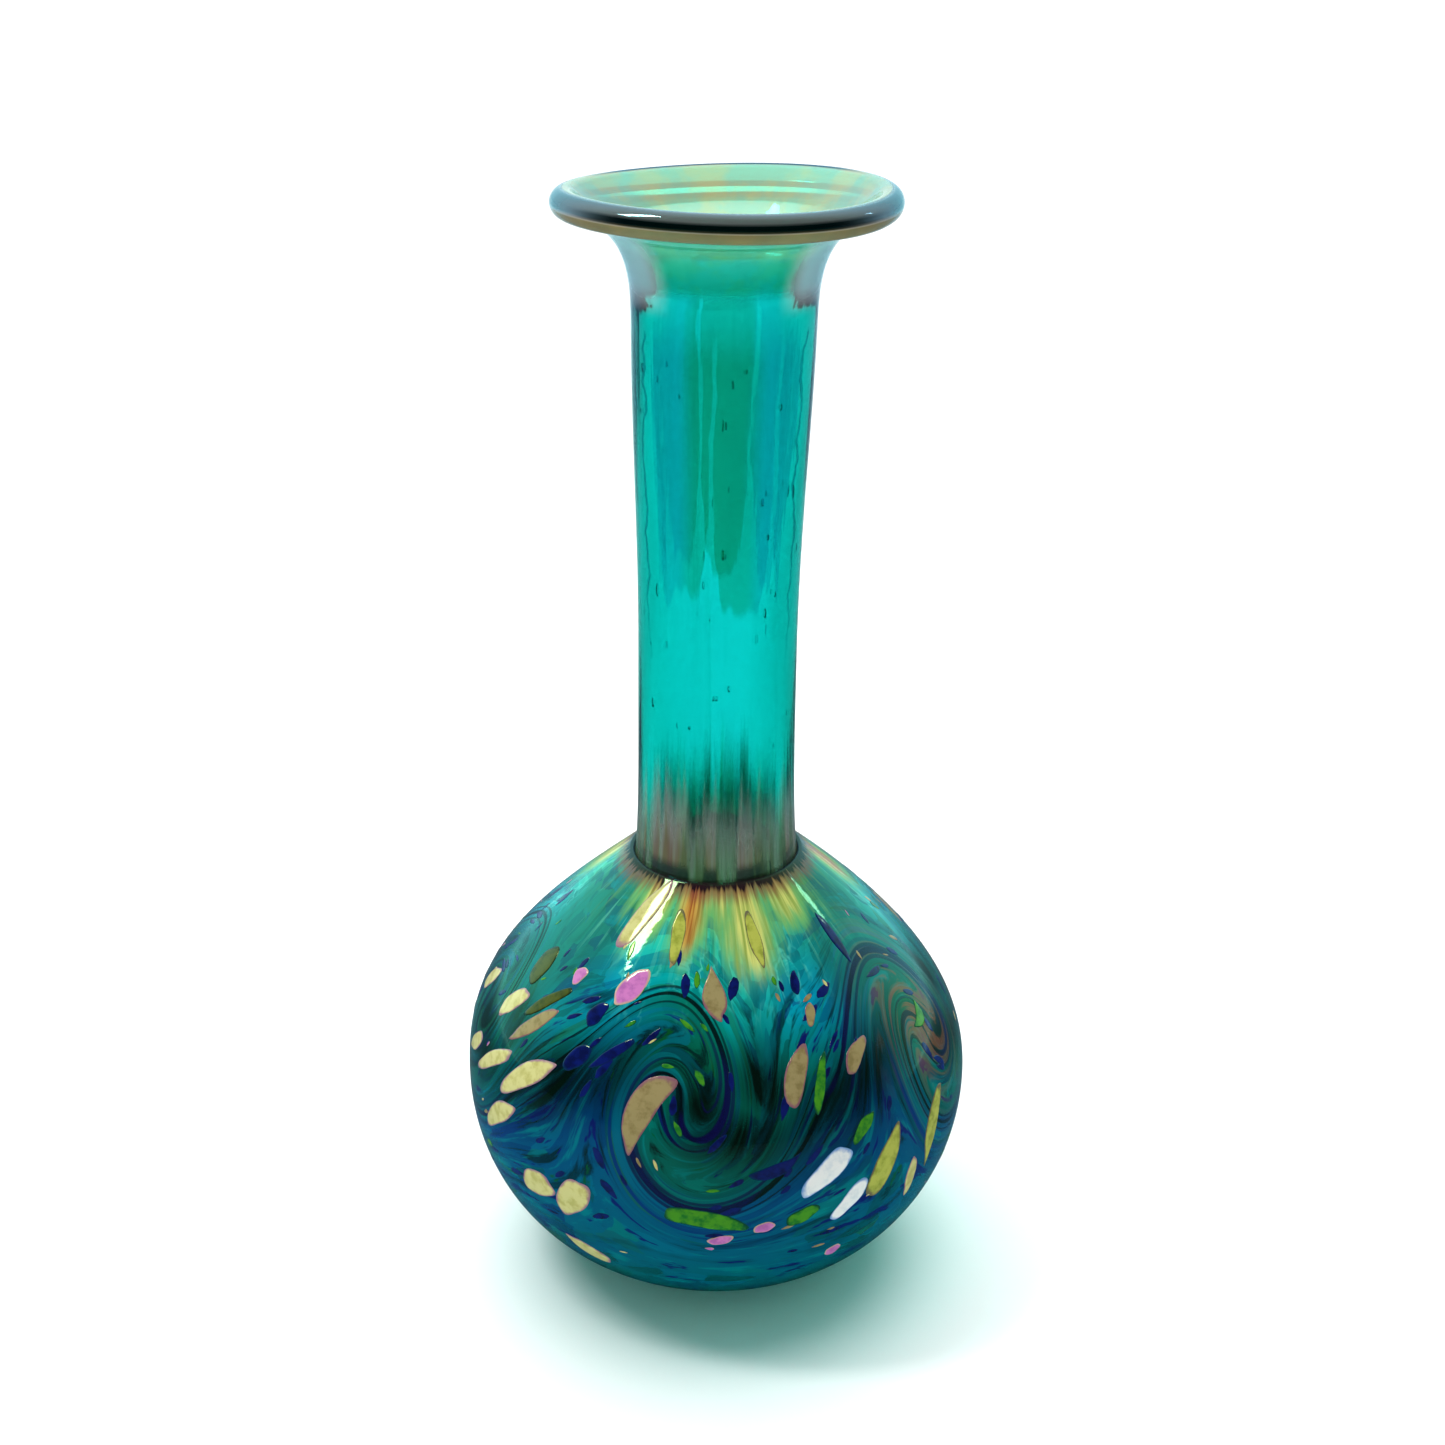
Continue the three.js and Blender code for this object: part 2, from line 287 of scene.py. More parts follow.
def axis_shift(height):
    """How far the vase's axis leans off the origin's at a height."""
    drift = np.clip((height - CREASE_HEIGHT) / (HEIGHT - CREASE_HEIGHT), 0, None)
    rise = np.clip((height - EQUATOR_HEIGHT) / (CREASE_HEIGHT - EQUATOR_HEIGHT), 0, 1)
    return LIP_DRIFT * drift ** DRIFT_POWER - SHOULDER_SWAY * np.sin(math.pi * rise) ** 2


def smooth(low, high, value):
    """0 below low, 1 above high, smooth between; low above high turns it round."""
    t = np.clip((value - low) / (high - low), 0, 1)
    return t * t * (3 - 2 * t)


def band(value, start, full, fade, end):
    """0 outside start to end, 1 between full and fade, smooth between."""
    return smooth(start, full, value) * (1 - smooth(fade, end, value))


def neck_outline(count):
    """(radius, height) of the neck's outside, from the crease to the flare."""
    t = np.linspace(0, 1, count)
    radius = NECK_WAIST_RADIUS + NECK_BASE_SWELL * np.exp(-t / SWELL_FALL)
    radius = radius + (NECK_TOP_RADIUS - NECK_WAIST_RADIUS) * smooth(WAIST_START, WAIST_END, t)
    start = CREASE_HEIGHT - NECK_OVERLAP
    height = start + (NECK_TOP_HEIGHT - start) * t
    return np.stack([radius, height], axis=1)


def lip_outline():
    """(radius, height) up under the flare, round the rolled edge and down into the bore."""
    roll = LIP_THICKNESS / 2
    centre = LIP_RADIUS - roll
    bore = NECK_TOP_RADIUS - NECK_WALL
    under = bezier([
        (NECK_TOP_RADIUS, NECK_TOP_HEIGHT),
        (NECK_TOP_RADIUS, NECK_TOP_HEIGHT + FLARE_RISE),
        (centre - FLARE_REACH, HEIGHT - LIP_THICKNESS),
        (centre, HEIGHT - LIP_THICKNESS)], 30)
    t = np.linspace(-math.pi / 2, ROLL_END, 30)[1:]
    edge = np.stack([centre + roll * np.cos(t), HEIGHT - roll + roll * np.sin(t)], axis=1)
    brink = edge[-1]
    dish = bezier([
        brink,
        brink - DISH_SLOPE,
        (bore, NECK_TOP_HEIGHT + DISH_DEPTH),
        (bore, NECK_TOP_HEIGHT)], 34)[1:]
    return np.concatenate([under[1:], edge, dish])


# ---------------------------------------------------------------- meshes

def to_xyz(azimuth, radius, height):
    """Points in millimetres on the leaning vase."""
    x = radius * np.sin(azimuth) + axis_shift(height)
    return np.stack([x, -radius * np.cos(azimuth), height], axis=-1)


def evenly_round(sides):
    """So many azimuths, evenly spaced round a full turn."""
    return np.arange(sides) * math.tau / sides


def within_half_turn(angle):
    """The same angle, brought to within half a turn of zero."""
    return (angle + math.pi) % math.tau - math.pi


def make_piece(name, points, faces):
    """A smooth-shaded mesh object from points in millimetres."""
    mesh = bpy.data.meshes.new(name)
    mesh.from_pydata((points / METRE).tolist(), [], faces)
    mesh.shade_smooth()
    mesh.update()
    piece = bpy.data.objects.new(name, mesh)
    bpy.context.collection.objects.link(piece)
    return piece


def grid_faces(rows, columns, closed_rows):
    """Quads over a grid of points that closes round its columns."""
    faces = []
    last = rows if closed_rows else rows - 1
    for i in range(last):
        here = i * columns
        above = ((i + 1) % rows) * columns
        for j in range(columns):
            k = (j + 1) % columns
            faces.append((here + j, here + k, above + k, above + j))
    return faces


def turned_points(outline, sides, wobble=None):
    """The outline turned about the vase's axis: an array of rows x sides x 3."""
    radius = np.repeat(outline[:, :1], sides, axis=1)
    height = np.repeat(outline[:, 1:], sides, axis=1)
    azimuth = np.repeat(evenly_round(sides)[None, :], len(outline), axis=0)
    if wobble is not None:
        radius, height = wobble(azimuth, radius, height)
    return to_xyz(azimuth, radius, height)


def closed_lathe(outline, sides, wobble=None):
    """Points and faces of a turned solid whose outline starts and ends on the axis. The turned
    rows come first, then the two points on the axis."""
    body = turned_points(outline[1:-1], sides, wobble)
    rows = len(body)
    ends = np.array([[0, 0, outline[0, 1]], [0, 0, outline[-1, 1]]])
    faces = grid_faces(rows, sides, False)
    low = rows * sides
    for j in range(sides):
        k = (j + 1) % sides
        faces.append((low, k, j))
        faces.append((low + 1, (rows - 1) * sides + j, (rows - 1) * sides + k))
    return np.concatenate([body.reshape(-1, 3), ends]), faces


def capped_faces(rings, sides):
    """Outward faces over a first point, so many rings of points, and a last point."""
    faces = []
    last = 1 + (rings - 1) * sides
    for j in range(sides):
        k = (j + 1) % sides
        faces.append((0, 1 + k, 1 + j))
        faces.append((last + sides, last + j, last + k))
        for here in range(1, last, sides):
            faces.append((here + j, here + k, here + sides + k, here + sides + j))
    return faces


def wrapped(azimuth, level):
    """Texture space without a seam: once round a unit circle, and up in bulb radii."""
    return np.stack([np.cos(azimuth), np.sin(azimuth), level / BULB_RADIUS], axis=1)


def set_attribute(piece, name, values):
    """Stores a number or a vector for each vertex of a piece."""
    kind = "FLOAT" if values.ndim == 1 else "FLOAT_VECTOR"
    attribute = piece.data.attributes.new(name, kind, "POINT")
    key = "value" if values.ndim == 1 else "vector"
    attribute.data.foreach_set(key, np.ascontiguousarray(values, dtype=np.float32).ravel())


def hand_wobble(azimuth, radius, height):
    """The unevenness that tools leave in hot glass: most at the lip, a little in the bore."""
    up = smooth(CREASE_HEIGHT, HEIGHT, height)
    flare = smooth(NECK_TOP_RADIUS, LIP_RADIUS, radius)
    ripple = np.sin(3 * azimuth + height / 17) + 0.6 * np.sin(5 * azimuth - height / 9 + 1)
    bore = (radius < NECK_WAIST_RADIUS - 1) & (height > CREASE_HEIGHT)
    radius = radius + 0.05 * up * ripple + np.where(bore, 0.10 * ripple, 0)
    radius = radius * (1 + 0.008 * flare * np.cos(2 * azimuth - 0.6))
    height = height + flare * (0.35 * np.cos(2 * azimuth + 1.9) + 0.1 + LIP_TILT * np.cos(azimuth))
    return radius, height


# ---------------------------------------------------------------- twirled flow of the colour coat

def untwirl(azimuth, along):
    """Where the glass at (azimuth, along) lay before the twirls were turned into it."""
    x = azimuth * BULB_RADIUS
    y = np.array(along, dtype=float)
    for turn in range(-TWIRLS, TWIRLS + 1):
        centre = (TWIRL_AZIMUTH + turn * TWIRL_SPACING) * BULB_RADIUS
        across = (x - centre) * TWIRL_SLIMNESS
        up = (y - TWIRL_ALONG) / TWIRL_SLIMNESS
        away = np.hypot(across, up)
        angle = TWIRL_TURN * np.exp(-(away / TWIRL_REACH) ** 2)
        turned_across = np.cos(angle) * across - np.sin(angle) * up
        turned_up = np.sin(angle) * across + np.cos(angle) * up
        x = centre + turned_across / TWIRL_SLIMNESS
        y = TWIRL_ALONG + turned_up * TWIRL_SLIMNESS
    return x / BULB_RADIUS, y


def winding(azimuth, along):
    """How many times closer together the twirls have drawn the glass, up the outline."""
    step = 0.05
    east = untwirl(azimuth + step / BULB_RADIUS, along)[1] - untwirl(azimuth, along)[1]
    north = untwirl(azimuth, along + step)[1] - untwirl(azimuth, along)[1]
    return np.hypot(east, north) / step


def soft_spot(azimuth, along, centre, wide, tall, lean=0.0):
    """A soft patch on the bulb, 1 at its centre (degrees, mm) and fading over its half sizes."""
    across = within_half_turn(azimuth - math.radians(centre[0])) * BULB_RADIUS
    up = along - centre[1] - lean * across
    return np.exp(-((across / wide) ** 2 + (up / tall) ** 2))


def by_each_twirl(azimuth, along, beside, level, wide, tall, lean=0.0):
    """The same soft patch beside each twirl, so many degrees round from it."""
    patch = np.zeros_like(along)
    for turn in range(TWIRLS):
        centre = math.degrees(TWIRL_AZIMUTH + turn * TWIRL_SPACING) + beside
        patch = np.maximum(patch, soft_spot(azimuth, along, (centre, level), wide, tall, lean))
    return patch


def trough_depth(azimuth, along):
    """From 0 to 1, how deep a spot lies in the dark troughs that curl behind each twirl."""
    return np.maximum.reduce([
        depth * by_each_twirl(azimuth, along, *spot) for depth, *spot in TROUGHS])


# ---------------------------------------------------------------- materials

def linear(colour):
    """A screen colour, three values from 0 to 255, as a shader socket holds it (the sRGB curve)."""
    values = []
    for value in colour:
        v = value / 255
        values.append(v / 12.92 if v <= 0.04045 else ((v + 0.055) / 1.055) ** 2.4)
    return (*values, 1.0)


class Tree:
    """A node tree, with short calls for the nodes that the world and the materials share."""

    def __init__(self, owner):
        owner.use_nodes = True
        self.tree = owner.node_tree

    def node(self, kind, **settings):
        node = self.tree.nodes.new(kind)
        for key, value in settings.items():
            setattr(node, key, value)
        return node

    def link(self, source, target):
        self.tree.links.new(source, target)

    def part(self, vector, axis):
        """One number of a vector."""
        node = self.node("ShaderNodeSeparateXYZ")
        self.link(vector, node.inputs["Vector"])
        return node.outputs[axis]

    def maths(self, operation, first, second=0.0, clamp=False):
        """One sum on sockets or plain numbers."""
        node = self.node("ShaderNodeMath", operation=operation, use_clamp=clamp)
        for socket, value in zip(node.inputs, (first, second)):
            if isinstance(value, (int, float)):
                socket.default_value = value
            else:
                self.link(value, socket)
        return node.outputs["Value"]

    def step(self, factor, low, high, least=0.0, most=1.0):
        """The least below low, the most above high, smooth between; low above high turns it."""
        node = self.node("ShaderNodeMapRange", interpolation_type="SMOOTHSTEP")
        self.link(factor, node.inputs["Value"])
        node.inputs["From Min"].default_value = min(low, high)
        node.inputs["From Max"].default_value = max(low, high)
        node.inputs["To Min"].default_value = least if low < high else most
        node.inputs["To Max"].default_value = most if low < high else least
        return node.outputs["Result"]

    def mirrored(self):
        """1 for a ray reflected in the vase, 0 for any other."""
        path = self.node("ShaderNodeLightPath")
        return self.maths("SUBTRACT", path.outputs["Is Glossy Ray"],
                          path.outputs["Is Transmission Ray"], clamp=True)


class Shader(Tree):
    """A material, with short calls for the nodes used here. Colours are screen colours."""

    def __init__(self, name):
        self.material = bpy.data.materials.new(name)
        super().__init__(self.material)
        self.surface = self.tree.nodes["Principled BSDF"]
        self.output = self.tree.nodes["Material Output"]

    def set(self, **sockets):
        for name, value in sockets.items():
            self.surface.inputs[name.replace("_", " ")].default_value = value

    def drive(self, name, source):
        self.link(source, self.surface.inputs[name])

    def number(self, name):
        """A number stored on the mesh."""
        return self.node("ShaderNodeAttribute", attribute_name=name).outputs["Fac"]

    def vector(self, name):
        """A vector stored on the mesh."""
        return self.node("ShaderNodeAttribute", attribute_name=name).outputs["Vector"]

    def scaled(self, vector, factors):
        node = self.node("ShaderNodeVectorMath", operation="MULTIPLY")
        self.link(vector, node.inputs[0])
        node.inputs[1].default_value = factors
        return node.outputs["Vector"]

    def added(self, first, second):
        node = self.node("ShaderNodeVectorMath", operation="ADD")
        self.link(first, node.inputs[0])
        self.link(second, node.inputs[1])
        return node.outputs["Vector"]

    def times(self, first, second, clamp=False):
        return self.maths("MULTIPLY", first, second, clamp)

    def plus(self, first, second):
        return self.maths("ADD", first, second)

    def minus(self, first, second, clamp=False):
        return self.maths("SUBTRACT", first, second, clamp)

    def shaken(self, value, noise, reach):
        """A value moved up and down by a noise, by up to half the reach each way."""
        return self.plus(value, self.times(self.minus(noise, 0.5), reach))

    def noise(self, vector, squeeze, detail=3.0, roughness=0.55, colour=False):
        """Noise from 0 to 1, finer along an axis the more the vector is squeezed along it."""
        node = self.node("ShaderNodeTexNoise")
        self.link(self.scaled(vector, squeeze), node.inputs["Vector"])
        node.inputs["Scale"].default_value = 1.0
        node.inputs["Detail"].default_value = detail
        node.inputs["Roughness"].default_value = roughness
        return node.outputs["Color" if colour else "Fac"]

    def cells(self, vector, feature="F1", output="Color"):
        """Crazed cells: each one's own random colour, or the distance to its edge."""
        node = self.node("ShaderNodeTexVoronoi", feature=feature)
        self.link(vector, node.inputs["Vector"])
        node.inputs["Scale"].default_value = 1.0
        return node.outputs[output]

    def ramp(self, factor, stops, interpolation="LINEAR"):
        """Colours, or plain numbers, from place to place along the factor."""
        node = self.node("ShaderNodeValToRGB")
        ramp = node.color_ramp
        ramp.interpolation = interpolation
        while len(ramp.elements) < len(stops):
            ramp.elements.new(0.5)
        for element, (place, tone) in zip(ramp.elements, stops):
            element.position = place
            element.color = linear(tone) if isinstance(tone, tuple) else (tone, tone, tone, 1.0)
        self.link(factor, node.inputs["Fac"])
        return node.outputs["Color"]

    def mix(self, factor, first, second, blend="MIX"):
        node = self.node("ShaderNodeMix", data_type="RGBA", blend_type=blend, clamp_factor=True)
        for name, value in (("Factor_Float", factor), ("A_Color", first), ("B_Color", second)):
            socket = next(s for s in node.inputs if s.identifier == name)
            if isinstance(value, tuple):
                socket.default_value = linear(value)
            else:
                self.link(value, socket)
        return next(s for s in node.outputs if s.identifier == "Result_Color")

    def paint(self, colour, mask, strength, tone):
        """Lays a tone over a colour where the mask is up."""
        return self.mix(self.times(mask, strength, clamp=True), colour, tone)

    def bump(self, height, strength, distance):
        node = self.node("ShaderNodeBump")
        node.inputs["Strength"].default_value = strength
        node.inputs["Distance"].default_value = distance
        self.link(height, node.inputs["Height"])
        self.drive("Normal", node.outputs["Normal"])


def lustre(shader, film, level, sheen):
    """The fumed lustre: a metal oxide film a few hundred nanometres thick, and its sheen."""
    thickness, index = film
    shader.set(Thin_Film_Thickness=thickness, Thin_Film_IOR=index, Specular_IOR_Level=level,
               Specular_Tint=sheen)


def neck_panels(shader, place, rise):
    """The fumed lining of the neck: long panels that end below in rounded lobes; and a painted dark
    line down each side of the neck.
    """
    front = shader.part(place, "X")
    angle = shader.maths("ARCTAN2", shader.part(place, "Y"), front)
    wave = shader.noise(place, (3, 3, 3), detail=3)
    panel = shader.plus(shader.times(angle, LINING_PANELS / math.tau), shader.times(wave, 0.25))
    inside = shader.maths("ABSOLUTE", shader.minus(shader.maths("FRACT", panel), 0.5))
    lobe = shader.maths("POWER", shader.times(inside, 2.0), 4.0)
    wander = shader.noise(place, (2, 2, 0.5), detail=2)
    edge = shader.plus(shader.times(lobe, 24.0), shader.times(wander, 26.0))
    above = shader.step(shader.minus(rise, edge), 36.0, 38.5)
    between = shader.step(inside, 0.485, 0.45)
    panels = shader.times(above, between)
    # Painted shade: a ragged dark line down each side of the neck's upper outside, where the bore's
    # edge shows through the wall.
    ragged = shader.times(shader.noise(place, (1, 1, 5), detail=3), 0.42)
    beside = shader.minus(shader.maths("ABSOLUTE", angle), WALL_EDGE_ANGLE - 0.21)
    painted_wall_edge = shader.maths("ABSOLUTE", shader.minus(beside, ragged))
    painted_wall_edge = shader.times(shader.step(painted_wall_edge, 0.030, 0.014), shader.step(rise, 34.0, 60.0))
    return panels, painted_wall_edge, front


def jacked_fume(shader, place, rise, front):
    """Fume where the neck was jacked in: where it lies, how opaque it is there, and the layers of
    its colour as (mask, strength, tone); the last layer is painted shade at the front of the
    crease."""
    streaks = shader.noise(place, (9, 9, 0.7), detail=4, roughness=0.6)
    patches = shader.noise(place, (5, 5, 0.8), detail=4)
    reach = shader.plus(rise, shader.times(streaks, -38.0))
    jacked = shader.times(shader.step(reach, 1.0, -20.0), shader.step(rise, -5.0, -1.0))
    metal = shader.plus(shader.times(shader.step(patches, 0.56, 0.44), 0.25),
                        shader.times(shader.step(rise, 24.0, 3.0), 0.38))
    fume = shader.ramp(patches, [
        (0.36, (106, 88, 28)),
        (0.43, (100, 112, 0)),
        (0.50, (60, 134, 16)),
        (0.58, (70, 172, 90)),
        (0.68, (130, 210, 160))])
    mauve = shader.times(shader.step(rise, 9.0, 5.0), shader.step(streaks, 0.42, 0.55))
    # Painted shade in the front of the crease, streaked by the fume patches.
    front_crease_shade = shader.times(shader.step(rise, 3.5, 1.0), shader.step(patches, 0.56, 0.49))
    front_crease_shade = shader.times(front_crease_shade, shader.step(front, 0.0, 0.8))
    layers = ((jacked, 0.9, fume), (mauve, 0.4, (140, 112, 104)), (front_crease_shade, 0.8, (0, 50, 50)))
    return jacked, metal, layers


def clear_glass():
    """Teal glass coloured through its depth, with a fumed lining in the neck, bands of lustre,
    painted reflection and painted shade round the rolled lip, a painted sheen on the sides of the
    flare, painted dark lines down the sides of the neck, and brown and green fume where the neck
    was jacked in, with painted shade at the front of the crease."""
    shader = Shader("clear_teal_glass")
    place = shader.vector("place")
    rise = shader.number("rise")
    dish = shader.number("dish")
    painted_side_sheen = shader.number("painted_side_sheen")
    painted_sky_reflection = shader.number("painted_sky_reflection")
    shade = shader.number("shade")
    gilt_and_table_reflection = shader.number("gilt_and_table_reflection")
    shader.set(Roughness=0.0, IOR=GLASS_INDEX)
    lustre(shader, CLEAR_FILM, 0.4, CLEAR_SHEEN)

    cords = shader.noise(place, (5, 5, 0.25), detail=3, roughness=0.6)
    tint = shader.mix(shader.step(cords, 0.52, 0.75), (255, 255, 255), (226, 244, 240))
    panels, painted_wall_edge, front = neck_panels(shader, place, rise)
    middle = shader.step(shader.maths("ABSOLUTE", front), 0.80, 0.93)
    lining = shader.mix(middle, (196, 208, 226), (180, 194, 164))
    tint = shader.mix(shader.times(panels, shader.number("bore")), tint, lining, "MULTIPLY")
    # Pale lustre in the dish of the lip, with a painted reflection of the bright room in it.
    pearl_and_room_reflection = shader.mix(shader.step(shader.noise(place, (3, 3, 9), detail=3), 0.4, 0.62),
                       (196, 228, 196), (228, 228, 178))
    bronze = shader.mix(shader.noise(place, (4, 4, 5), detail=3), (168, 148, 100), (120, 122, 92))
    jacked, metal, fume_layers = jacked_fume(shader, place, rise, front)
    for mask, strength, tone in (
            # Painted shade: dark lines down the sides of the neck.
            (shader.times(painted_wall_edge, shader.number("skin")), 0.85, (20, 110, 140)),
            (dish, 1.0, pearl_and_room_reflection),
            # Painted sheen, pale, on the sides of the flare.
            (painted_side_sheen, 0.9, (176, 218, 228)),
            # Painted reflection of the bright room on top of the roll, in grey.
            (painted_sky_reflection, 1.0, (124, 132, 130)),
            # Painted shade on the roll, nearly black.
            (shade, 1.0, (0, 14, 16)),
            # Gilt under the roll: lustre, with a painted reflection of the table in it.
            (gilt_and_table_reflection, 1.0, bronze),
            *fume_layers):
        tint = shader.paint(tint, mask, strength, tone)
    shader.drive("Base Color", tint)
    shader.drive("Metallic", shader.times(painted_sky_reflection, 0.3))
    clear = 1.0
    for mask, opacity in ((jacked, metal), (dish, 0.5), (painted_side_sheen, 0.6), (painted_sky_reflection, 0.7), (shade, 0.9),
                          (gilt_and_table_reflection, 0.75)):
        clear = shader.minus(clear, shader.times(mask, opacity), clamp=True)
    shader.drive("Transmission Weight", clear)
    shader.bump(shader.noise(place, (7, 7, 0.6), detail=2), 0.12, 0.0004)

    volume = shader.node("ShaderNodeVolumeAbsorption")
    volume.inputs["Color"].default_value = DEPTH_COLOUR
    volume.inputs["Density"].default_value = DEPTH_DENSITY
    shader.link(volume.outputs["Volume"], shader.output.inputs["Volume"])
    return shader.material


def coat_bands(shader, flow, along, carried):
    """The broad colour of the coat from the base to the crease, half carried by the twirls; its
    pale turquoise near the crease is partly painted light coming through the shoulder.
    """
    soft = shader.noise(flow, (3, 3, 4), detail=3)
    level = shader.times(shader.plus(along, carried), 0.5)
    level = shader.shaken(level, soft, 0.16)
    # Paler towards the crease: partly the coat's own colour, partly painted light shining through
    # the thin glass of the shoulder.
    colour = shader.ramp(level, [
        (0.00, (0, 122, 104)),
        (0.20, (0, 128, 128)),
        (0.40, (0, 112, 142)),
        (0.52, (0, 88, 138)),
        (0.62, (0, 100, 100)),
        (0.71, (0, 138, 118)),
        (0.78, (0, 190, 186)),
        (0.88, (48, 212, 188)),
        (0.96, (84, 200, 150))])
    for patch, tone in (("cyan", (0, 156, 200)), ("blue", (0, 70, 128)),
                        ("grass", (0, 112, 66)), ("deep", (0, 104, 96))):
        colour = shader.paint(colour, shader.number(patch), 0.75, tone)
    return colour, level


def coat_flakes(shader, colour, flow, place, along):
    """Flakes of frit, drawn out along the flow, and pale veins between those of the shoulder."""
    warp = shader.noise(flow, (6, 6, 9), detail=2, colour=True)
    space = shader.added(shader.scaled(flow, (6, 6, 17)), shader.scaled(warp, (0.9, 0.9, 0.9)))
    flake = shader.node("ShaderNodeSeparateColor")
    shader.link(shader.cells(space), flake.inputs["Color"])
    palette = shader.ramp(flake.outputs["Red"], [
        (0.00, (14, 18, 124)),
        (0.14, (0, 60, 112)),
        (0.28, (0, 128, 158)),
        (0.44, (0, 84, 70)),
        (0.58, (6, 146, 134)),
        (0.74, (0, 100, 140)),
        (0.92, (36, 120, 56))], "CONSTANT")
    colour = shader.paint(colour, shader.step(flake.outputs["Green"], 0.5, 0.75), 0.5, palette)

    shoulder = shader.step(along, 0.74, 0.85)
    space = shader.added(shader.scaled(place, (12, 12, 5)), shader.scaled(warp, (1.1, 1.1, 1.1)))
    scale = shader.node("ShaderNodeSeparateColor")
    shader.link(shader.cells(space), scale.inputs["Color"])
    deep = shader.times(shader.step(scale.outputs["Blue"], 0.45, 0.9), shoulder)
    colour = shader.paint(colour, deep, 0.55, (0, 112, 116))
    rim = shader.cells(space, "DISTANCE_TO_EDGE", "Distance")
    vein = shader.times(shader.step(rim, 0.11, 0.01), shoulder)
    broken = shader.step(shader.noise(place, (7, 7, 5)), 0.44, 0.58)
    vein = shader.times(vein, broken)
    vein = shader.times(vein, shader.minus(1.0, shader.number("deep"), clamp=True))
    return shader.paint(colour, vein, 0.55, (110, 236, 218))


def coat_strokes(shader, colour, flow, level, trough):
    """Strokes of dark, light, cobalt and green glass drawn out along the flow."""
    middle = shader.times(shader.step(level, 0.30, 0.50), shader.step(level, 0.90, 0.76))
    calm = shader.step(shader.number("wound"), 3.4, 1.4)
    middle = shader.times(middle, calm)
    fine = shader.noise(flow, (3, 3, 17), detail=4, roughness=0.62)
    light = shader.times(shader.step(fine, 0.45, 0.34), calm)
    colour = shader.paint(colour, light, 0.55, (0, 156, 160))
    dark = shader.times(shader.step(fine, 0.52, 0.64), middle)
    colour = shader.paint(colour, dark, 0.85, (0, 34, 40))
    broad = shader.noise(flow, (4, 4, 19), detail=3, roughness=0.6)
    grass = shader.times(shader.step(broad, 0.36, 0.31), middle)
    colour = shader.paint(colour, grass, 0.75, (14, 104, 40))
    cobalt = shader.times(shader.step(broad, 0.60, 0.64), shader.step(level, 0.84, 0.74))
    cobalt = shader.times(cobalt, calm)
    colour = shader.paint(colour, cobalt, 0.85, (16, 12, 118))

    streaky = shader.plus(0.35, shader.times(fine, 1.25))
    colour = shader.paint(colour, shader.times(trough, streaky), 1.0, (0, 20, 16))
    warm = shader.times(shader.number("rust"), shader.step(broad, 0.46, 0.58))
    return shader.paint(colour, warm, 0.7, (150, 96, 66))


def coat_lines(shader, colour, flow, line):
    """The dark trailed threads that the twirls wind up, of uneven width."""
    ragged = shader.noise(flow, (4, 4, 10), detail=3)
    swell = shader.noise(flow, (5, 5, 1), detail=1)
    tone = shader.mix(shader.step(swell, 0.45, 0.60), (0, 14, 22), (18, 12, 76))
    offset = shader.shaken(line, ragged, 4.0)
    wound = shader.number("wound")
    for shift, width, strength in ((0.0, 1.5, 0.95), (-4.4, 0.8, 0.75), (5.2, 0.7, 0.7)):
        gap = shader.maths("ABSOLUTE", shader.plus(offset, shift))
        gap = shader.maths("DIVIDE", gap, wound)
        gap = shader.maths("DIVIDE", gap, shader.maths("POWER", swell, 1.3))
        colour = shader.paint(colour, shader.step(gap, width, width * 0.55), strength, tone)
    return colour


def coat_fume(shader, colour, place, along):
    """Fumed gold, lemon and rust under the crease, in tongues drawn down the shoulder."""
    rays = shader.noise(place, (24, 24, 2.2), detail=3, roughness=0.6)
    shoulder = shader.step(along, 0.80, 0.92)
    colour = shader.paint(colour, shader.times(shader.step(rays, 0.54, 0.66), shoulder),
                          0.55, (0, 104, 92))
    colour = shader.paint(colour, shader.times(shader.step(rays, 0.42, 0.34), shoulder),
                          0.4, (120, 226, 190))
    tongues = shader.noise(place, (9, 9, 2.6), detail=3, roughness=0.6)
    amount = shader.plus(shader.number("gold"), shader.times(shader.minus(tongues, 0.5), 1.0))
    amount = shader.shaken(amount, rays, 0.35)
    fringe = shader.times(shader.step(amount, 0.12, 0.50), shoulder)
    colour = shader.paint(colour, fringe, 0.85, (136, 206, 124))
    warm = shader.mix(shader.step(rays, 0.40, 0.62), (226, 172, 84), (180, 96, 50))
    sharp = shader.mix(shader.step(rays, 0.40, 0.60), (238, 240, 142), (172, 190, 98))
    core = shader.mix(shader.number("orange"), sharp, warm)
    colour = shader.paint(colour, shader.step(amount, 0.40, 0.86), 0.95, core)
    ring = shader.shaken(along, rays, 0.05)
    colour = shader.paint(colour, shader.step(ring, 0.955, 0.985), 0.7, (148, 78, 74))
    return shader.paint(colour, shader.step(ring, 0.982, 0.992), 0.95, (34, 16, 36))


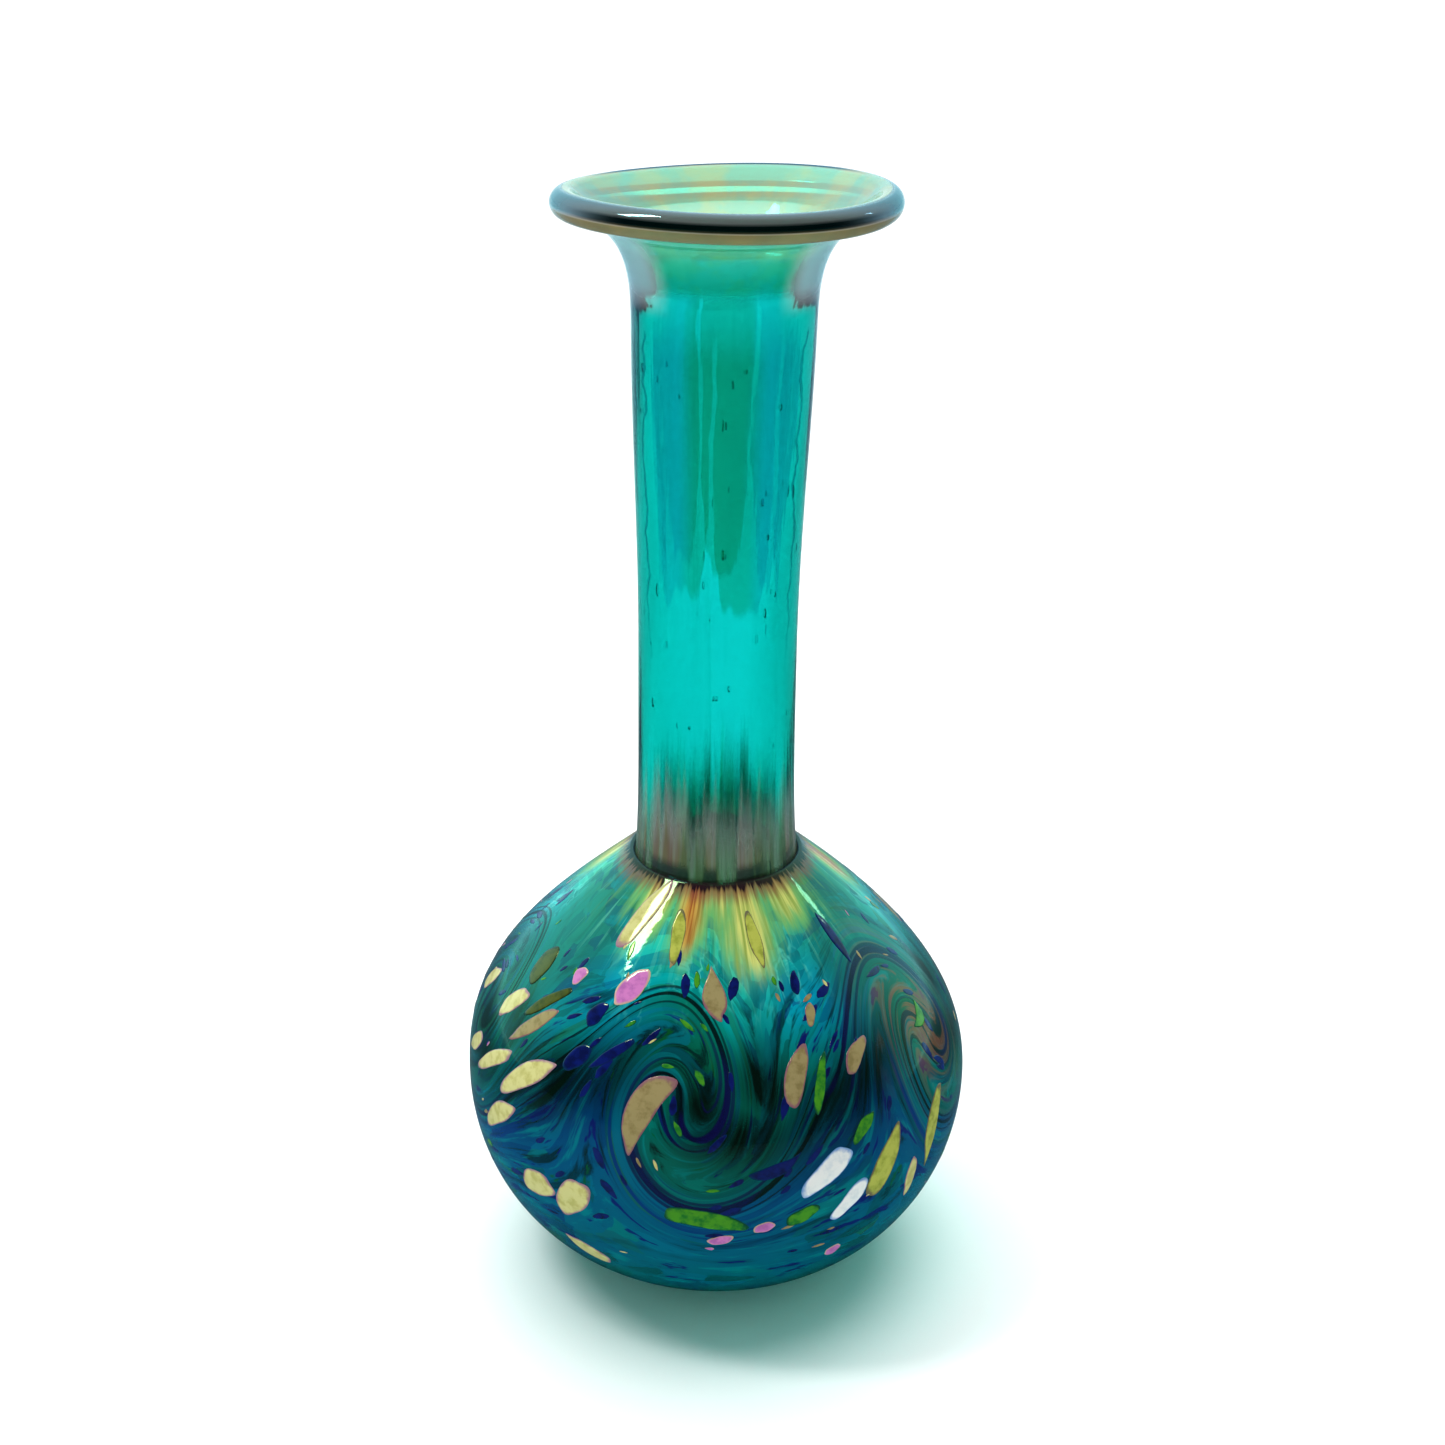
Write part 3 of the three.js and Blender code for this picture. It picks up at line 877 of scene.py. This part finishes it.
def coat_glass():
    """The twirled colour coat: bands, flakes, strokes and threads of teal, green, blue and cobalt,
    drawn out along the flow of the glass, with fumed gold under the crease."""
    shader = Shader("twirled_colour_coat")
    flow = shader.vector("flow")
    place = shader.vector("place")
    along = shader.number("along")
    carried = shader.number("carried")
    colour, level = coat_bands(shader, flow, along, carried)
    colour = coat_flakes(shader, colour, flow, place, along)
    colour = coat_strokes(shader, colour, flow, level, shader.number("trough"))
    colour = coat_lines(shader, colour, flow, shader.number("line"))
    colour = coat_fume(shader, colour, place, along)
    shader.drive("Base Color", colour)
    shader.drive("Transmission Weight", shader.ramp(along, COAT_CLEARNESS))
    shader.set(Roughness=0.04, IOR=COAT_INDEX)
    lustre(shader, COAT_FILM, 0.35, COAT_SHEEN)
    shader.bump(shader.noise(flow, (3, 3, 10), detail=2), 0.10, 0.0005)
    return shader.material


def chip_glass(name, heart, patch, rim):
    """Opaque chip glass: mottled, with the rim stained by the glass around it."""
    shader = Shader(name)
    edge = shader.number("edge")
    place = shader.vector("place")
    mottle = shader.noise(place, (22, 22, 22), detail=4, roughness=0.6)
    colour = shader.mix(shader.step(mottle, 0.42, 0.66), heart, patch)
    ragged = shader.plus(edge, shader.times(mottle, 0.34))
    colour = shader.mix(shader.step(ragged, 0.96, 1.14), colour, rim)
    shader.drive("Base Color", colour)
    shader.set(Roughness=0.06, IOR=COAT_INDEX)
    lustre(shader, COAT_FILM, 0.35, CHIP_SHEEN)
    return shader.material


def foot_glass():
    """The ground flat: the same glass, matt from the wheel."""
    shader = Shader("ground_foot_glass")
    place = shader.node("ShaderNodeTexCoord").outputs["Object"]
    grain = shader.noise(place, (2600, 2600, 2600))
    shader.drive("Base Color", shader.mix(grain, (8, 92, 86), (30, 136, 126)))
    shader.set(Roughness=0.45, Transmission_Weight=0.4, IOR=GLASS_INDEX)
    shader.bump(grain, 0.4, 0.00005)
    return shader.material


def table_paint():
    """White table top. Its reflection in the vase fades out towards the unlit camera side."""
    shader = Shader("white_table")
    place = shader.node("ShaderNodeTexCoord").outputs["Object"]
    grain = shader.noise(place, (90, 90, 90), detail=4)
    white = shader.mix(grain, (247, 247, 247), (249, 249, 249))
    near = shader.times(shader.mirrored(), shader.step(shader.part(place, "Y"), 0.9, 0.1))
    shader.drive("Base Color", shader.mix(near, white, (89, 93, 97)))
    shader.set(Roughness=0.6, Specular_IOR_Level=0.15)
    return shader.material


# ---------------------------------------------------------------- pieces

def finish_piece(piece, material, slot, *nodes):
    """Gives a piece its material and its body, and hides the CAD nodes that it stands for; the slot
    is not used.
    """
    piece.data.materials.clear()
    piece.data.materials.append(material)
    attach(piece, "root")
    if nodes:
        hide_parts(*nodes)


def ellipsoid(centre, radii, rings=7, sides=10):
    """Points and outward faces of a small ellipsoid, for a seed in the glass."""
    points = [(0, 0, -1)]
    for i in range(1, rings + 1):
        polar = math.pi * i / (rings + 1)
        for j in range(sides):
            turn = math.tau * j / sides
            points.append((math.sin(polar) * math.cos(turn), math.sin(polar) * math.sin(turn),
                           -math.cos(polar)))
    points.append((0, 0, 1))
    return np.array(points) * np.array(radii) + np.array(centre), capped_faces(rings, sides)


def add_seeds(blocks, faces):
    """Adds blown seeds to the wall of the neck: hollows, so their faces look inwards."""
    random = np.random.default_rng(7)
    radius = NECK_WAIST_RADIUS - NECK_WALL / 2
    for _ in range(SEED_COUNT):
        azimuth = random.uniform(-math.pi, math.pi)
        height = random.uniform(CREASE_HEIGHT + 8, NECK_TOP_HEIGHT - 4)
        size = random.uniform(*SEED_SIZES)
        long = size * random.uniform(*SEED_DRAWS)
        centre = to_xyz(np.array(azimuth), np.array(radius), np.array(height))
        spot, skin = ellipsoid(centre, (size, size, long))
        start = sum(len(block) for block in blocks)
        blocks.append(spot)
        faces.extend(tuple(start + i for i in reversed(face)) for face in skin)


def glass_body():
    """The clear glass in one flow, as it is in a hot-joined vase: bubble, neck and lip."""
    along = np.linspace(0, OUTLINE_LENGTH, BULB_STEPS)
    under = np.stack(bulb_point(along, COAT_THICKNESS + COAT_CLEARANCE), axis=1)
    inside_along = np.linspace(OUTLINE_LENGTH - 1.0, 0, INSIDE_STEPS)
    wall = BULB_WALL + BASE_EXTRA * (1 - inside_along / OUTLINE_LENGTH) ** BASE_THINNING
    inside = np.stack(bulb_point(inside_along, wall), axis=1)
    neck = neck_outline(NECK_STEPS)
    bore = neck[::-1] - np.array([NECK_WALL, 0])
    outline = np.concatenate([
        [[0, under[0, 1]]],
        under[under[:, 1] < CREASE_HEIGHT - JOIN_OUTSIDE],
        neck,
        lip_outline(),
        bore[1:],
        inside[inside[:, 1] < CREASE_HEIGHT - JOIN_INSIDE],
        [[0, inside[-1, 1]]]])
    turned, faces = closed_lathe(outline, BODY_SIDES, hand_wobble)
    blocks = [turned]
    add_seeds(blocks, faces)
    points = np.concatenate(blocks)
    piece = make_piece("clear_glass_body", points, faces)
    body_attributes(piece, points, np.repeat(outline[1:-1], BODY_SIDES, axis=0))
    finish_piece(piece, clear_glass(), "teal_glass", "bubble", "neck", "lip")


def body_attributes(piece, points, turned):
    """Stores where the clear glass carries its linings, its lustre and its painted reflections and
    shade. The turned points come first, and for them their (radius, height) before the tools'
    unevenness is used."""
    rest = points[len(turned):]
    rest_radius = np.hypot(rest[:, 0] - axis_shift(rest[:, 2]), rest[:, 1])
    azimuth = np.arctan2(points[:, 0] - axis_shift(points[:, 2]), -points[:, 1])
    set_attribute(piece, "place", wrapped(azimuth, points[:, 2]))
    height = np.concatenate([turned[:, 1], rest[:, 2]])
    radius = np.concatenate([turned[:, 0], rest_radius])
    set_attribute(piece, "rise", height - CREASE_HEIGHT)

    top = NECK_TOP_HEIGHT
    in_bore = (height > CREASE_HEIGHT) & (radius < NECK_WAIST_RADIUS - 0.6)
    set_attribute(piece, "bore", in_bore * (1 - smooth(top - 6, top + 2, height)))
    skin = (height > CREASE_HEIGHT) & ~in_bore
    set_attribute(piece, "skin", skin * (1 - smooth(top - 1, top, height)))

    roll = LIP_THICKNESS / 2
    out = radius - LIP_RADIUS + roll
    up = height - HEIGHT + roll
    on_roll = np.hypot(out, up) < roll + 0.1
    turn = np.degrees(np.arctan2(up, out))
    # The painted sky reflection on top of the roll and the gilt under it are stronger on the side
    # that faces the camera.
    facing = 0.2 + 0.8 * smooth(-0.9, 0.1, np.cos(azimuth))
    set_attribute(piece, "painted_sky_reflection", facing * on_roll * band(turn, *SKY_REFLECTION_BAND))
    # Painted shade on the roll: a thin dark outline along its back, and a dark band on its front
    # where it would mirror the unlit camera side.
    back = on_roll * band(turn, *BACK_SHADE_BAND) * smooth(-0.2, -0.8, np.cos(azimuth))
    front = on_roll * band(turn, *FRONT_SHADE_BAND) * smooth(0.35, 0.85, np.cos(azimuth))
    set_attribute(piece, "shade", np.maximum(back, front))
    # Gilt lustre under the roll, with a painted reflection of the table in it.
    set_attribute(piece, "gilt_and_table_reflection", facing * on_roll * band(turn, *GILT_REFLECTION_BAND))

    mouth = lip_outline()
    brink = mouth[mouth[:, 1].argmax():]
    inside = np.interp(height, brink[::-1, 1], brink[::-1, 0])
    on_dish = (np.abs(radius - inside) < 0.3) & (height > top)
    set_attribute(piece, "dish", on_dish * smooth(top + 5, top + 8, height))
    # Painted sheen on the outside of the flare, at its sides as seen from the front, where the
    # glass would mirror the bright room at a glancing angle.
    flare = smooth(top + 2, top + 8, height) * skin * ~on_dish * ~on_roll
    set_attribute(piece, "painted_side_sheen", flare * smooth(-0.45, 0.25, -np.cos(2 * azimuth)))


def coat_attributes(piece, azimuth, along):
    """Stores where each vertex lies, and where its glass lay before it was twirled."""
    old_azimuth, old_along = untwirl(azimuth, along)
    set_attribute(piece, "place", wrapped(azimuth, along))
    set_attribute(piece, "flow", wrapped(old_azimuth, old_along))
    set_attribute(piece, "along", along / OUTLINE_LENGTH)
    set_attribute(piece, "carried", old_along / OUTLINE_LENGTH)
    set_attribute(piece, "line", old_along - TWIRL_ALONG)
    set_attribute(piece, "wound", winding(azimuth, along))
    set_attribute(piece, "trough", trough_depth(azimuth, along))
    for name, spot in TWIRL_PATCHES.items():
        set_attribute(piece, name, by_each_twirl(azimuth, along, *spot))
    deep = smooth(0.0, 0.8, -np.cos(3 * azimuth)) * smooth(80, 92, along)
    set_attribute(piece, "deep", deep * (1 - smooth(114, 119, along)))
    rust = np.maximum(soft_spot(azimuth, along, (64, 80), 10, 15),
                      soft_spot(azimuth, along, (-150, 84), 14, 10))
    set_attribute(piece, "rust", rust)
    gold = 0.7 * soft_spot(azimuth, along, (0, OUTLINE_LENGTH), 45, 11)
    for centre, low, wide, tall in GOLD_PATCHES:
        gold = np.maximum(gold, soft_spot(azimuth, along, (centre, low), wide, tall))
    set_attribute(piece, "gold", gold)
    orange = np.zeros_like(along)
    for centre in ORANGE_AZIMUTHS:
        orange = np.maximum(orange, soft_spot(azimuth, along, (centre, 109), 5, 14))
    set_attribute(piece, "orange", orange)


def colour_coat():
    """The colour coat as a closed shell over the bubble."""
    out_along = np.linspace(COAT_FOOT_GAP, OUTLINE_LENGTH, COAT_OUTSIDE_STEPS)
    in_along = np.linspace(OUTLINE_LENGTH, COAT_FOOT_GAP, COAT_INSIDE_STEPS)
    along = np.concatenate([out_along, in_along])
    depth = np.concatenate([np.zeros(len(out_along)), np.full(len(in_along), COAT_THICKNESS)])
    outline = np.stack(bulb_point(along, depth), axis=1)
    points = turned_points(outline, COAT_SIDES)
    piece = make_piece("colour_coat_glass", points.reshape(-1, 3),
                       grid_faces(len(outline), COAT_SIDES, True))
    azimuth = within_half_turn(np.tile(evenly_round(COAT_SIDES), len(outline)))
    coat_attributes(piece, azimuth, np.repeat(along, COAT_SIDES))
    finish_piece(piece, coat_glass(), "colour_coat_glass", "colour_coat")


def foot():
    """The ground flat, with a softened arris."""
    t = np.linspace(0, math.pi / 2, 6)
    inset = FOOT_RADIUS - FOOT_ARRIS
    low = np.stack([inset + FOOT_ARRIS * np.sin(t), FOOT_ARRIS - FOOT_ARRIS * np.cos(t)], axis=1)
    high = np.stack([inset + FOOT_ARRIS * np.cos(t),
                     FOOT_THICKNESS - FOOT_ARRIS + FOOT_ARRIS * np.sin(t)], axis=1)
    flat = np.stack([np.linspace(0, FOOT_RADIUS - 1, 8), np.zeros(8)], axis=1)
    lid = np.stack([np.linspace(FOOT_RADIUS - 1, 0, 8), np.full(8, FOOT_THICKNESS)], axis=1)
    points, faces = closed_lathe(np.concatenate([flat, low, high, lid]), FOOT_SIDES)
    piece = make_piece("ground_foot", points, faces)
    finish_piece(piece, foot_glass(), "foot_glass", "foot")


def chip_layout(node):
    """Reads a CAD chip: its centre (azimuth, along), length, width, tilt and taper."""
    points = np.array([v.co[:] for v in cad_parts[node].data.vertices]) * METRE
    x = points[:, 0] - axis_shift(points[:, 2])
    azimuth = np.arctan2(x, -points[:, 1])
    mid = math.atan2(np.mean(np.sin(azimuth)), np.mean(np.cos(azimuth)))
    radius = np.hypot(x, points[:, 1])
    spots = np.stack([radius, points[:, 2]], axis=1)
    away = np.linalg.norm(spots[:, None] - OUTLINE[None], axis=2)
    along = ALONG[away.argmin(axis=1)]
    top = away.min(axis=1) < CHIP_DEPTH / 2
    side = within_half_turn(azimuth - mid) * bulb_point(along, 0)[0]
    centre_side = (side[top].max() + side[top].min()) / 2
    centre_along = (along[top].max() + along[top].min()) / 2
    flat = np.stack([side[top] - centre_side, along[top] - centre_along], axis=1)
    values, axes = np.linalg.eigh(flat.T @ flat)
    axis = axes[:, values.argmax()]
    if axis[1] < 0:
        axis = -axis
    up = flat @ axis
    across = flat @ np.array([axis[1], -axis[0]])
    half = up.max() / 3
    wide_high = np.ptp(across[up > half])
    wide_low = np.ptp(across[up < -half])
    taper = (wide_high - wide_low) / (wide_high + wide_low)
    azimuth = mid + centre_side / bulb_point(centre_along, 0)[0]
    return azimuth, centre_along, np.ptp(up), np.ptp(across), math.atan2(axis[0], axis[1]), taper


def chip_mesh(layout, random, sides, lift, depth, uneven):
    """Points, faces and edge values of one chip, lying in the surface of the bulb."""
    azimuth, along, length, width, tilt, taper, bend, point = layout
    turn = evenly_round(sides)
    wave = np.ones(sides)
    for cycles in (2, 3, 5):
        wave += uneven / cycles ** 0.5 * np.cos(cycles * turn + random.uniform(0, math.tau))
    side_share = np.sign(np.sin(turn)) * np.abs(np.sin(turn)) ** (1 + point)
    rings = [(0.35, lift), (0.65, lift), (0.84, lift * 0.85), (0.94, lift * 0.55), (1.0, -0.02),
             (1.0, -0.16), (0.9, -0.6 * depth), (0.55, -depth)]
    points = []
    edges = []
    for share, height in [(0.0, lift)] + rings + [(0.0, -depth)]:
        count = 1 if share == 0 else sides
        up = share * np.cos(turn[:count]) * wave[:count]
        across = share * side_share[:count] * wave[:count] * (1 + taper * up) * width / 2
        across = across + bend * width * (up ** 2 - 0.3)
        lengthwise = up * length / 2
        spot = along + lengthwise * math.cos(tilt) - across * math.sin(tilt)
        side = lengthwise * math.sin(tilt) + across * math.cos(tilt)
        spot = np.clip(spot, 0.5, OUTLINE_LENGTH - 0.2)
        angle = azimuth + side / bulb_point(spot, 0)[0]
        radius, level = bulb_point(spot, -height)
        points.append(to_xyz(angle, radius, level))
        edges.append(np.full(count, share))
    return np.concatenate(points), capped_faces(len(rings), sides), np.concatenate(edges)


def chip_piece(name, meshes, material, slot, *nodes):
    """One object from one or more chip meshes."""
    points = np.concatenate([mesh[0] for mesh in meshes])
    faces = []
    start = 0
    for mesh in meshes:
        faces.extend(tuple(start + i for i in face) for face in mesh[1])
        start += len(mesh[0])
    piece = make_piece(name, points, faces)
    set_attribute(piece, "edge", np.concatenate([mesh[2] for mesh in meshes]))
    set_attribute(piece, "place", points / BULB_RADIUS)
    finish_piece(piece, material, slot, *nodes)


def chips(materials):
    """Every CAD chip, remade with an uneven outline and a softened edge."""
    for index, node in enumerate(sorted(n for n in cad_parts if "_chip_" in n)):
        colour = node.split("_chip_")[0]
        random = np.random.default_rng(100 + index)
        plain = (random.uniform(-0.12, 0.12), random.uniform(-0.2, 0.3), random.uniform(-0.1, 0.1))
        bend, point, widening = CHIP_SHAPES.get(node, plain)
        *place, taper = chip_layout(node)
        layout = (*place, taper + widening, bend, point)
        mesh = chip_mesh(layout, random, CHIP_SIDES, CHIP_LIFT, CHIP_DEPTH, CHIP_UNEVENNESS)
        chip_piece(node + "_glass", [mesh], materials[colour], colour + "_glass", node)


def flecks(materials):
    """Fine frit between the chips, drawn out along the flow: one piece for each colour."""
    for colour, count, longest, seed in FLECKS:
        random = np.random.default_rng(seed)
        meshes = []
        for _ in range(count):
            azimuth = random.uniform(-math.pi, math.pi)
            along = random.uniform(0.36, 0.88) * OUTLINE_LENGTH
            reach = 0.5
            east = untwirl(np.array(azimuth + reach / BULB_RADIUS), along)[1]
            west = untwirl(np.array(azimuth - reach / BULB_RADIUS), along)[1]
            north = untwirl(np.array(azimuth), along + reach)[1]
            south = untwirl(np.array(azimuth), along - reach)[1]
            tilt = math.atan2(north - south, -(east - west))
            tilt = (tilt + math.pi / 2) % math.pi - math.pi / 2
            if along > 0.8 * OUTLINE_LENGTH:
                tilt = random.uniform(-0.3, 0.3)
            length = longest * random.uniform(0.35, 1.0)
            width = length * random.uniform(0.22, 0.42)
            layout = (azimuth, along, length, width, tilt, random.uniform(-0.3, 0.3), 0.0, 0.3)
            meshes.append(chip_mesh(layout, random, FLECK_SIDES, FLECK_LIFT, FLECK_DEPTH,
                                    FLECK_UNEVENNESS))
        chip_piece(colour + "_flecks", meshes, materials[colour], colour + "_glass")


# ---------------------------------------------------------------- stage, light and camera

def look_at(thing, target):
    direction = Vector(target) - thing.location
    thing.rotation_euler = direction.to_track_quat("-Z", "Y").to_euler()


def add_lamp(name, light, place):
    lamp = bpy.data.objects.new(name, light)
    lamp.location = place
    bpy.context.collection.objects.link(lamp)
    return lamp


def soft_box(name, place, size, watts):
    """An oblong studio light, aimed at the vase."""
    light = bpy.data.lights.new(name, "AREA")
    light.shape = "RECTANGLE"
    light.size, light.size_y = size
    light.energy = watts
    look_at(add_lamp(name, light, place), WINDOW_AIM)


def table_top():
    """The plain table that the vase stands on."""
    corners = np.array([(-1, -1, 0), (1, -1, 0), (1, 1, 0), (-1, 1, 0)])
    table = make_piece("table", corners * TABLE_SIZE / 2 * METRE, [(0, 1, 2, 3)])
    table.data.materials.append(table_paint())
    return table


def background(sky, colour, strength):
    """Light from all round; its strength is a number or a socket."""
    node = sky.node("ShaderNodeBackground")
    node.inputs["Color"].default_value = colour
    if isinstance(strength, float):
        node.inputs["Strength"].default_value = strength
    else:
        sky.link(strength, node.inputs["Strength"])
    return node.outputs["Background"]


def chosen(sky, factor, first, second):
    """The first light where the factor is 0, the second where it is 1."""
    node = sky.node("ShaderNodeMixShader")
    for socket, source in zip(node.inputs, (factor, first, second)):
        sky.link(source, socket)
    return node.outputs["Shader"]


def room():
    """A white room. Reflections in the glass see its camera side unlit, as behind a photographer,
    and it lights the table less than the window behind the vase does."""
    world = bpy.data.worlds.new("white_room")
    sky = Tree(world)
    direction = sky.node("ShaderNodeTexCoord").outputs["Generated"]
    lit = sky.step(sky.part(direction, "Y"), *REFLECTED_FADE, *REFLECTED_LEVELS)
    path = sky.node("ShaderNodeLightPath")
    seen = background(sky, (1.0, 1.0, 1.0, 1.0), ROOM_SEEN)
    fill = background(sky, (1.0, 1.0, 1.0, 1.0), ROOM_LIGHT)
    reflected = background(sky, REFLECTED_ROOM, lit)
    light = chosen(sky, path.outputs["Is Diffuse Ray"], seen, fill)
    light = chosen(sky, sky.mirrored(), light, reflected)
    sky.link(light, sky.tree.nodes["World Output"].inputs["Surface"])
    bpy.context.scene.world = world


def sky_window():
    """Broad soft daylight from above and behind, so the vase's shadow falls towards the camera.
    Reflections don't see it."""
    light = bpy.data.lights.new("sky_window", "SUN")
    light.energy = SKY_STRENGTH
    light.angle = math.radians(SKY_SPREAD)
    lamp = add_lamp("sky_window", light, SKY_PLACE)
    lamp.visible_glossy = False
    look_at(lamp, (0, 0, 0))


def glow_on(table):
    """The teal light that comes through the glass onto the table, which path tracing misses."""
    light = bpy.data.lights.new("glass_glow", "POINT")
    light.color = GLOW_COLOUR
    light.energy = GLOW_WATTS
    light.shadow_soft_size = GLOW_SIZE
    light.use_shadow = False
    lamp = add_lamp("glass_glow", light, GLOW_PLACE)
    lit = bpy.data.collections.new("lit_by_glow")
    lit.objects.link(table)
    lamp.light_linking.receiver_collection = lit


def stage_and_light():
    table = table_top()
    room()
    glow_on(table)
    sky_window()
    for window in WINDOWS:
        soft_box(*window)
    bpy.context.scene.view_settings.view_transform = "Standard"
    bpy.context.scene.view_settings.look = "Medium High Contrast"


def camera():
    """The photograph's view: a little above the lip, looking down at the vase."""
    data = bpy.data.cameras.new("camera")
    data.sensor_width = SENSOR_WIDTH
    data.lens = LENS
    data.clip_start = 0.01
    eye = bpy.data.objects.new("camera", data)
    eye.location = EYE_PLACE
    eye.rotation_euler = (math.radians(90 - LOOK_DOWN), 0, 0)
    bpy.context.collection.objects.link(eye)
    bpy.context.scene.camera = eye


camera()
stage_and_light()
glass_body()
colour_coat()
foot()
chip_materials = {
    colour: chip_glass(colour + "_chip_glass", *tones) for colour, tones in CHIP_GLASS.items()}
chips(chip_materials)
flecks(chip_materials)
